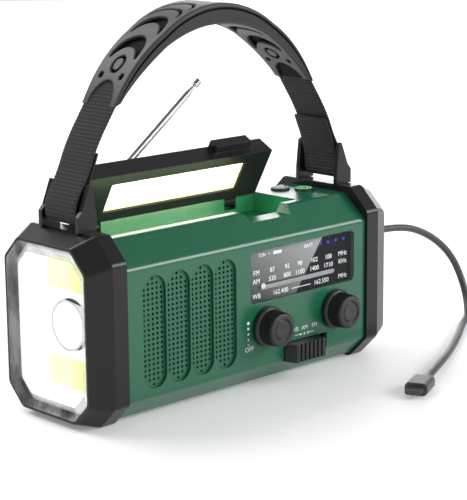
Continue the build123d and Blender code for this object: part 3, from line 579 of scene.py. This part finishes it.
def area_light(name, place, facing, width, height, power):
    """A rectangular soft light."""
    data = bpy.data.lights.new(name, "AREA")
    data.shape = "RECTANGLE"
    data.size = width
    data.size_y = height
    data.energy = power
    light = new_object(name, data)
    light.location = place
    light.rotation_euler = facing.to_track_quat("-Z", "Y").to_euler()
    return light


def make_stage():
    """A pale floor, an even white surround and four soft lights."""
    side = FLOOR_HALF_SIDE
    graph = Graph("floor_pale")
    tone = graph.mix(graph.noise(400.0), rgb(0.84, 0.84, 0.84), rgb(0.88, 0.88, 0.88))
    keys = {"Base Color": tone, "Roughness": 0.6, "Emission Color": tone, "Emission Strength": 0.22}
    corners = [(-side, -side, 0), (side, -side, 0), (side, side, 0), (-side, side, 0)]
    floor = add_piece("floor", corners, [(0, 1, 2, 3)], graph.finish(graph.principled(keys)), None)
    bpy.context.scene.view_settings.view_transform = "Standard"
    world = bpy.data.worlds.new("surround")
    bpy.context.scene.world = world
    world.use_nodes = True
    background = world.node_tree.nodes["Background"]
    background.inputs["Color"].default_value = rgb(1.0, 1.0, 1.0)
    background.inputs["Strength"].default_value = 0.4
    for name, place, width, height, power in LIGHTS:
        area_light(name, place, LIGHT_AIM - Vector(place), width, height, power)


def make_lamp_spill():
    """The lid lamp's light in the well below it. It stays there when the lid closes."""
    place = Vector((-12.0, -11.0, 83.5)) * MM
    light = area_light("lamp_spill", place, Vector((0.0, 1.0, -0.1)), 118.0 * MM, 5.0 * MM, 0.035)
    light.data.color = (0.85, 1.0, 0.6)
    light.visible_camera = False


# ---- strap ----

GRIP_HALF_WIDTH = 14.0
WEBBING_HALF_WIDTH = 11.4
WEBBING_THICK = 1.6
RIB_PITCH = 1.9
RIB_HEIGHT = 0.17
THREAD_PITCH = 2.0
STRAP_X = 88.0  # the strap loops' bars, left and right of the middle
STITCH_ROWS = 3
STITCH_START = 41.5  # along the webbing, from its end inside the grip
STITCH_ROW_PITCH = 2.2
STITCH_STRIDE = 1.5


def webbing_route(side):
    """The strap end's line in XZ: from inside the grip, down round the bar and back up to its stitches."""
    points = [
        (-29.9, 158.8), (-25.5, 153.2), (-21.5, 147.0), (-10.5, 131.0), (-4.2, 116.0), (2.9, 106.0),
        (3.3, 95.3), (-3.3, 95.3), (-3.0, 106.0), (-6.4, 116.5), (-9.6, 123.5), (-11.2, 127.5),
    ]
    return [(side * (STRAP_X + x), 0.0, z) for x, z in points]


def make_webbing(side, name, node, materials):
    """Ribbed webbing with real ribs, slightly rounded edges and a band of stitches."""
    stations = 420
    fine, length = resampled(smooth_line(webbing_route(side)), stations)
    across = 22
    thin_border = 1.4
    vertices = []
    weave = []
    for i, point in enumerate(fine):
        ahead = fine[min(i + 1, stations - 1)] - fine[max(i - 1, 0)]
        along = ahead.normalized()
        normal = Vector((along.z, 0.0, -along.x)) * side
        travel = length * i / (stations - 1)
        rib = RIB_HEIGHT * math.cos(2 * math.pi * travel / RIB_PITCH)
        ring = []
        for j in range(across + 1):
            y = WEBBING_HALF_WIDTH * (2.0 * j / across - 1.0)
            edge = 1.0 - 0.55 * step(abs(y), WEBBING_HALF_WIDTH - thin_border, WEBBING_HALF_WIDTH)
            ring.append((y, (WEBBING_THICK / 2 - RIB_HEIGHT + rib) * edge))
        for y, offset in ring:
            vertices.append(point + normal * offset + Vector((0, y, 0)))
            weave.append((y, travel))
        for y, offset in reversed(ring):
            vertices.append(point - normal * offset + Vector((0, y, 0)))
            weave.append((y, travel))
    faces = ring_faces(stations, 2 * (across + 1))
    piece = add_piece(name, vertices, faces, materials["webbing_black"], None)
    layer = piece.data.uv_layers.new(name="weave")
    for loop in piece.data.loops:
        y, travel = weave[loop.vertex_index]
        layer.data[loop.index].uv = (y / THREAD_PITCH, travel / RIB_PITCH)
    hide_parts(node)
    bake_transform(piece)
    make_stitches(side, name + "_stitches", fine, length, materials)


def make_stitches(side, name, line, length, materials):
    """Rows of zigzag thread that hold the folded end, on the outer face."""
    vertices = []
    faces = []
    reach = WEBBING_HALF_WIDTH - 1.5
    swing = 0.75
    lift = WEBBING_THICK / 2 + 0.12
    thread_aside = 0.22
    thread_proud = 0.2
    for row in range(STITCH_ROWS):
        travel = STITCH_START + STITCH_ROW_PITCH * row
        index = int(travel / length * (len(line) - 1))
        point = line[index]
        along = (line[index + 1] - line[index]).normalized()
        normal = Vector((along.z, 0.0, -along.x)) * side
        for i in range(int(2 * reach / STITCH_STRIDE)):
            y = i * STITCH_STRIDE - reach
            up = swing if i % 2 else -swing
            a = point + along * -up + normal * lift + Vector((0, y, 0))
            b = point + along * up + normal * lift + Vector((0, y + STITCH_STRIDE, 0))
            first = len(vertices)
            way = (b - a).normalized()
            aside = way.cross(normal).normalized() * thread_aside
            proud = normal * thread_proud
            for place in (a, b):
                vertices += [place - aside, place + proud, place + aside, place - proud]
            for j in range(4):
                k = (j + 1) % 4
                faces.append((first + j, first + k, first + 4 + k, first + 4 + j))
            faces.append((first + 3, first + 2, first + 1, first))
            faces.append((first + 4, first + 5, first + 6, first + 7))
    piece = add_piece(name, vertices, faces, materials["thread_black"], None)
    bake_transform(piece)


# Each sunk crescent's tip, half length and thickness, along the grip from its end.
CRESCENTS = ((42.2, 14.5, 8.6), (58.5, 13.0, 6.3), (67.6, 9.0, 2.4), (77.0, 10.0, 2.6))


def grip_pattern(reach, across):
    """How deep the grip's face is sunk, 0 to 1, at a distance from its end and from its centre line."""
    stretch = 1.25  # the small holes and the ring are longer than they are wide
    hole_reach = 15.6
    hole_across = 8.0
    ring_reach = 22.5
    ring_radius = 3.6
    half_width = 10.4
    opening = math.hypot((reach + 1.0) / 14.0, across / 9.2)
    deep = 1.0 - step(opening, 0.96, 1.04)
    for hole_side in (-1, 1):
        hole = math.hypot((reach - hole_reach) / stretch, across - hole_side * hole_across)
        deep = max(deep, 1.0 - step(hole, 1.2, 1.65))
    ring = abs(math.hypot((reach - ring_reach) / stretch, across) - ring_radius)
    deep = max(deep, 1.0 - step(ring, 0.35, 0.85))
    for apex, half_length, thickness in CRESCENTS:
        centre = apex - half_length
        outer = math.hypot((reach - centre) / half_length, across / half_width)
        inner = math.hypot((reach - centre + thickness) / half_length, across / (half_width - 0.4))
        inside = (1.0 - step(outer, 0.94, 1.0)) * step(inner, 0.97, 1.03) * step(reach, centre - 2.0, centre)
        deep = max(deep, inside)
    return deep


def arch_line(foot, bend, shoulder, crown):
    """The grip's line from its left foot over the crown to its right foot, as three arcs."""
    right = [(-x, z) for x, z in (shoulder, bend, foot)]
    return (
        arc(foot, bend, shoulder, 40)
        + arc(shoulder, (0.0, crown), right[0], 60)[1:]
        + arc(*right, 40)[1:]
    )


def make_grip(materials):
    """The moulded grip: an arch with sunk crescents on both faces and a groove along its walls."""
    stations = 460
    outer, length = resampled(arch_line((-67.0, 148.0), (-52.2, 168.3), (-36.5, 180.3), 192.2), stations)
    inner, _ = resampled(arch_line((-62.6, 149.6), (-50.0, 161.8), (-34.0, 173.6), 181.9), stations)
    across = 72
    corner = 1.5
    deepest = 2.4
    vertices = []
    sunk = []
    painted_wall_shade = []
    for i in range(stations):
        top = outer[i]
        thickness = (outer[i] - inner[i]).length
        down = (inner[i] - outer[i]) / thickness
        travel = length * i / (stations - 1)
        reach = min(travel, length - travel)
        round_off = min(corner, thickness * 0.3)
        depth_limit = min(deepest, thickness * 0.4)
        flat = GRIP_HALF_WIDTH - round_off
        waist = 0.9 + 0.1 * step(reach, 0.0, 50.0) - 0.03 * step(reach, 60.0, 82.0)
        ring = []
        for j in range(across + 1):
            y = flat * (2.0 * j / across - 1.0)
            deep = grip_pattern(reach, y)
            ring.append((y, deep * depth_limit, deep, 0.0))
        for k in (1, 2, 3):
            t = math.radians(30 * k)
            ring.append((flat + round_off * math.sin(t), round_off * (1 - math.cos(t)), 0.0, k / 3.0))
        side_depth = thickness - 2 * round_off
        groove = round_off + 0.08 * side_depth
        # The groove's inner points count as sunk, so they take the grip's painted shade.
        for extra, inset, groove_painted_shade in ((0.0, 0.0, 0.0), (0.35, 0.7, 1.0), (0.95, 0.7, 1.0), (1.3, 0.0, 0.0)):
            ring.append((GRIP_HALF_WIDTH - inset, groove + extra * min(1.0, side_depth / 4.0), groove_painted_shade, 1.0))
        for share in (0.4, 0.6, 0.8, 1.0):
            bulge = 0.35 * math.sin(math.pi * share)
            ring.append((GRIP_HALF_WIDTH - 0.35 + bulge, round_off + side_depth * share, 0.0, 1.0))
        for k in (1, 2):
            t = math.radians(30 * k)
            away = thickness - round_off * (1 - math.sin(t))
            ring.append((flat + round_off * math.cos(t), away, 0.0, 1.0 - k / 3.0))
        for j in range(across + 1):
            y = flat * (1.0 - 2.0 * j / across)
            deep = grip_pattern(reach, y)
            ring.append((y, thickness - deep * depth_limit, deep, 0.0))
        far_side = [(-y, z, d, w) for y, z, d, w in reversed(ring[across + 1:len(ring) - across - 1])]
        for y, z, deep, side in ring + far_side:
            place = top + down * z
            vertices.append((place.x, y * waist, place.y))
            sunk.append(deep)
            painted_wall_shade.append(side)
    faces = ring_faces(stations, len(vertices) // stations)
    rubber = materials["rubber_grey"]
    piece = add_piece("grip_moulded", vertices, faces, rubber, "handle", sharp=60.0)
    # These marks carry the grip's painted shade to its material.
    add_attribute(piece, "sunk", sunk)
    add_attribute(piece, "painted_wall_shade", painted_wall_shade)
    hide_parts("grip")


# ---- front face ----

KNOB_Z = 32.4
VOLUME_X = 9.6
TUNING_X = 59.0
# Each ring of a knob: radius, place along Y, and how deep its ribs are.
KNOB_PROFILE = [
    (3.2, -35.4, 0.0), (9.7, -35.4, 0.0), (10.25, -35.9, 0.0), (10.3, -36.4, 0.0), (10.3, -37.2, 0.0),
    (10.0, -37.8, 0.0), (9.45, -38.1, 0.0), (9.2, -38.4, 0.25), (9.1, -38.8, 0.3), (8.85, -44.6, 0.3),
    (8.8, -45.3, 0.3), (8.5, -45.9, 0.28), (8.1, -46.3, 0.2), (7.5, -46.55, 0.0), (6.9, -46.6, 0.0),
    (5.9, -46.6, 0.0), (5.7, -46.45, 0.0), (5.55, -46.0, 0.0), (5.2, -45.85, 0.0), (4.9, -46.0, 0.0),
    (4.7, -46.3, 0.0), (4.3, -46.4, 0.0), (2.5, -46.15, 0.0), (0.6, -46.05, 0.0),
]

def make_knob(name, node, body, x, materials):
    """A turned knob with a finely ribbed rim, a ring and a round dimple in its face."""
    ribs = 64
    around = ribs * 6
    vertices = []
    for radius, y, amount in KNOB_PROFILE:
        for k in range(around):
            turn = 2 * math.pi * k / around
            wave = max(0.0, math.cos(ribs * turn)) ** 0.5
            reach = radius - amount * (1.0 - wave)
            vertices.append((x + reach * math.cos(turn), y, KNOB_Z + reach * math.sin(turn)))
    faces = ring_faces(len(KNOB_PROFILE), around)
    piece = add_piece(name, vertices, faces, materials["knob_black"], body)
    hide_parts(node)


CAPITAL_SHARE = 0.7  # a capital's height, as a share of the font's size
INK = 0.02


def text_mesh(items, y):
    """Raised lettering on an upright face: each item is words, the x and z of its middle, and its height."""
    vertices = []
    faces = []
    for words, x, z, height in items:
        curve = bpy.data.curves.new("lettering", "FONT")
        curve.body = words
        curve.size = height / CAPITAL_SHARE
        curve.align_x = "CENTER"
        curve.align_y = "CENTER"
        curve.extrude = INK
        curve.resolution_u = 4
        holder = new_object("lettering", curve)
        bpy.context.view_layer.update()
        flat = bpy.data.meshes.new_from_object(holder)
        first = len(vertices)
        vertices += [(x + v.co.x, y - v.co.z, z + v.co.y) for v in flat.vertices]
        faces += [tuple(first + i for i in p.vertices) for p in flat.polygons]
        bpy.data.objects.remove(holder)
        bpy.data.curves.remove(curve)
        bpy.data.meshes.remove(flat)
    return vertices, faces


def plate_mesh(outline, y, thick=INK):
    """A flat raised shape on an upright face, from its outline in XZ."""
    vertices = [(x, y, z) for x, z in outline] + [(x, y - thick, z) for x, z in outline]
    return vertices, ring_faces(2, len(outline))


def joined(parts):
    """One list of points and one of faces, from several shapes."""
    vertices = []
    faces = []
    for some_vertices, some_faces in parts:
        first = len(vertices)
        vertices += some_vertices
        faces += [tuple(first + i for i in face) for face in some_faces]
    return vertices, faces


def round_outline(x, z, radius, count=24):
    angles = [2 * math.pi * k / count for k in range(count)]
    return [(x + radius * math.cos(t), z + radius * math.sin(t)) for t in angles]


def bar_outline(left, right, z, half):
    """A bar with round ends."""
    quarter = [math.radians(a) for a in range(-90, 91, 15)]
    near = [(right + half * math.cos(t), z + half * math.sin(t)) for t in quarter]
    return near + [(left - half * math.cos(t), z - half * math.sin(t)) for t in quarter]


def box_outline(x1, x2, z1, z2):
    return [(x1, z1), (x2, z1), (x2, z2), (x1, z2)]


def make_dial(materials):
    """The dial's figures, scale bar and four small lights, on the plate behind the window."""
    face = -31.62
    band_x = 5.6
    unit_x = 68.4
    figure = 2.4
    columns = (16.8, 27.4, 36.6, 47.2, 57.6)
    fm_figures = ("87", "92", "98", "102", "108")
    am_figures = ("520", "800", "1100", "1400", "1710")
    items = [(word, band_x, z, 2.5) for word, z in (("FM", 59.6), ("AM", 55.2), ("WB", 47.6))]
    items += [(word, x, 59.6, figure) for word, x in zip(fm_figures, columns)]
    items += [(word, x, 55.2, figure) for word, x in zip(am_figures, columns)]
    items += [(word, unit_x, z, figure) for word, z in (("MHz", 59.8), ("KHz", 55.6), ("MHz", 47.8))]
    items += [("162.400", 22.6, 47.5, figure), ("162.550", 52.4, 47.5, figure)]
    items += [("TUN", 9.6, 68.2, 1.7), ("BATT", 43.0, 67.8, 1.8)]
    items += [("+", 14.6, 68.2, 1.6), ("-", 26.6, 68.2, 1.6)]
    marks = [text_mesh(items, face)]
    for bar in ((30.6, 44.4, 47.3, 47.65), (17.6, 20.6, 67.4, 69.0), (21.0, 23.4, 67.4, 69.0)):
        marks.append(plate_mesh(box_outline(*bar), face))
    vertices, faces = joined(marks)
    # The figures glow a little as painted light.
    add_piece("dial_print_painted_glow", vertices, faces, materials["dial_print_painted_glow"], "case")
    vertices, faces = plate_mesh(bar_outline(9.5, 61.0, 51.6, 1.15), face, 0.03)
    add_piece("dial_scale_bar", vertices, faces, materials["bar_grey"], "case")
    lights = [plate_mesh(round_outline(x, 67.6, 0.8), face, 0.25) for x in (51.6, 57.2, 63.0, 68.8)]
    vertices, faces = joined(lights)
    add_piece("dial_lights", vertices, faces, materials["led_blue"], "case")


def make_front_print(materials):
    """The volume dots, OFF, the band names and their marks, printed on the green face."""
    face = FRONT - 0.01
    items = [("OFF", -2.9, 22.6, 2.4)]
    items += [(word, x, 26.5, 2.2) for word, x in (("WB", 29.6), ("AM", 36.5), ("FM", 43.8))]
    marks = [text_mesh(items, face)]
    for i in range(5):
        marks.append(plate_mesh(round_outline(-3.5, 36.2 - 2.8 * i, 0.85 - 0.12 * i), face))
    for left, right in ((29.6, 33.4), (39.2, 43.4)):
        marks.append(plate_mesh(box_outline(left, right, 23.3, 23.6), face))
    for x in (33.8, 36.4, 39.0):
        marks.append(plate_mesh(round_outline(x, 23.4, 0.6), face))
    vertices, faces = joined(marks)
    add_piece("front_print", vertices, faces, materials["print_white"], "case")


ICON_THICK = 0.12
ICON_SUNK = 0.04


def flat_ring(x, y, z, inner, outer, start=0, end=360):
    """A flat ring or part of one, lying on top of a level surface."""
    count = 48
    vertices = []
    for k in range(count + 1):
        t = math.radians(start + (end - start) * k / count)
        for radius, height in ((inner, z), (outer, z), (outer, z + ICON_THICK), (inner, z + ICON_THICK)):
            vertices.append((x + radius * math.cos(t), y + radius * math.sin(t), height))
    return vertices, ring_faces(count + 1, 4)


def button_top(node):
    """The middle of a button's top face, a little inside it."""
    low, high = (Vector(v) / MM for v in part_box(node))
    return (low.x + high.x) / 2, (low.y + high.y) / 2, high.z - ICON_SUNK


def make_button_icons(materials):
    """A lit ring and bar on the power button, and a small ring on the lamp button."""
    x, y, top = button_top("power_button")
    bar = [(px, py, top) for px, py in box_outline(x - 0.3, x + 0.3, y + 0.6, y + 2.9)]
    bar += [(px, py, pz + ICON_THICK) for px, py, pz in bar]
    rings = [flat_ring(x, y, top, 3.3, 4.0), flat_ring(x, y, top, 1.7, 2.2, -235, 55)]
    vertices, faces = joined(rings + [(bar, ring_faces(2, 4))])
    add_piece("power_icon", vertices, faces, materials["icon_green"], "power")
    vertices, faces = flat_ring(*button_top("lamp_button"), 1.6, 2.2)
    add_piece("lamp_icon", vertices, faces, materials["print_white"], "lamp_switch")


# ---- back ----

SCREW_PLACES = [(-72.8, 30.0), (-72.8, 60.0), (73.2, 30.0), (0.0, 14.0)]
SCREW_FACE_Y = 34.3
# Each ring of a screw head: radius, and how far it stands out.
SCREW_RINGS = (
    (2.8, 0.0), (2.8, 0.12), (2.55, 0.3), (2.1, 0.42), (1.7, 0.47), (1.3, 0.49), (0.9, 0.5), (0.5, 0.5),
)
CROSS_HALF_WIDTH = 0.36
CROSS_REACH = 1.9
CROSS_DEPTH = 0.45


def make_screw_heads(materials):
    """Domed screw heads with a cross recess, on the back of the case."""
    around = 48
    shapes = []
    for x, z in SCREW_PLACES:
        vertices = []
        for radius, proud in SCREW_RINGS:
            for k in range(around):
                turn = 2 * math.pi * k / around
                px = radius * math.cos(turn)
                pz = radius * math.sin(turn)
                in_cross = min(abs(px), abs(pz)) < CROSS_HALF_WIDTH and radius < CROSS_REACH
                sunk = CROSS_DEPTH if in_cross else 0.0
                vertices.append((x + px, SCREW_FACE_Y + proud - sunk, z + pz))
        shapes.append((vertices, ring_faces(len(SCREW_RINGS), around)))
    vertices, faces = joined(shapes)
    steel = materials["screw_steel"]
    add_piece("case_screw_heads", vertices, faces, steel, "case", sharp=25.0)


# ---- the whole scene ----

make_camera()
shades = make_materials()
make_cable(shades)
make_stage()
make_lamp_spill()
paint_nodes(shades)
for strap_side, strap_word in ((-1, "left"), (1, "right")):
    make_webbing(strap_side, "webbing_woven_" + strap_word, "webbing_" + strap_word, shades)
make_grip(shades)
make_knob("volume_knob_ribbed", "volume_knob", "volume", VOLUME_X, shades)
make_knob("tuning_knob_ribbed", "tuning_knob", "tuning", TUNING_X, shades)
make_dial(shades)
make_front_print(shades)
make_button_icons(shades)
make_screw_heads(shades)
